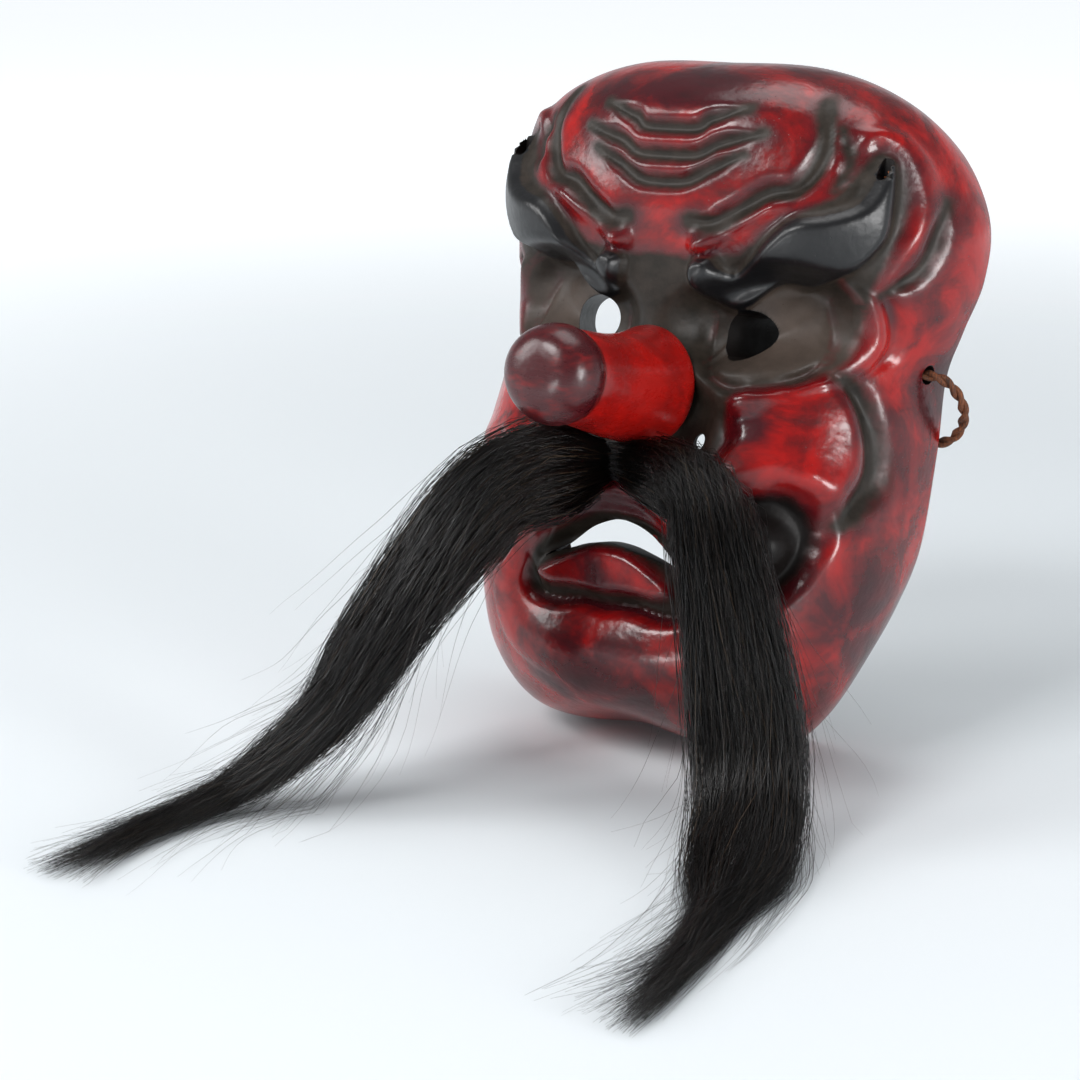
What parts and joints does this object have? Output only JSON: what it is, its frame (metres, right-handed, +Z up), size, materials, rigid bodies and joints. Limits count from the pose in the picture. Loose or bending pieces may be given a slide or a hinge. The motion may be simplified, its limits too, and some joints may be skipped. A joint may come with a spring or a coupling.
{
  "type": "long-nosed goblin mask",
  "caption": "Carved wooden goblin mask with a long nose, raised black brows, a hollow back, side cord loops and a parted horsehair moustache that swings at the lip.",
  "frame": {"origin": "on the flat back rim, at its top and in the middle of its width", "axes": "+Z up, -Y the way the face looks, +X to the right as seen from the front; the mask leans back 11 degrees"},
  "size_m": [0.2211, 0.3089, 0.2619],
  "materials": {
    "lacquered_wood": "red lacquer, rubbed dark in the hollows",
    "nose_lacquer": "bright red lacquer, burgundy tip",
    "bare_wood": "bare, worn",
    "horsehair": "coarse black-brown hair",
    "thread": "waxed binding thread",
    "cord": "old twisted fibre cord"
  },
  "bodies": {
    "mask": {"mask_shell": "lacquered_wood", "nose": "nose_lacquer", "nose_dowel": "bare_wood", "brow_peg_left": "bare_wood", "brow_peg_right": "bare_wood", "moustache_root": "horsehair", "moustache_plug": "bare_wood", "moustache_tie_left": "thread", "moustache_tie_right": "thread"},
    "tuft_left": {"moustache_left": "horsehair"},
    "tuft_right": {"moustache_right": "horsehair"},
    "side_cord_left": {"cord_loop_left": "cord", "cord_knot_left": "cord"},
    "side_cord_right": {"cord_loop_right": "cord", "cord_knot_right": "cord"}
  },
  "joints": [
    {"name": "tuft_left_lift", "type": "hinge", "parent": "mask", "child": "tuft_left", "pos_m": [-0.014, -0.11405, -0.12555], "axis": [-0.9049, 0.4257, 0], "range_deg": [0, 20]},
    {"name": "tuft_right_lift", "type": "hinge", "parent": "mask", "child": "tuft_right", "pos_m": [0.014, -0.11405, -0.12555], "axis": [-0.8797, -0.4756, 0], "range_deg": [0, 20]},
    {"name": "side_cord_left_swing", "type": "hinge", "parent": "mask", "child": "side_cord_left", "pos_m": [-0.075, -0.03419, -0.09727], "axis": [1, 0, 0], "range_deg": [0, 15]},
    {"name": "side_cord_right_swing", "type": "hinge", "parent": "mask", "child": "side_cord_right", "pos_m": [0.075, -0.03419, -0.09727], "axis": [1, 0, 0], "range_deg": [0, 15]}
  ]
}
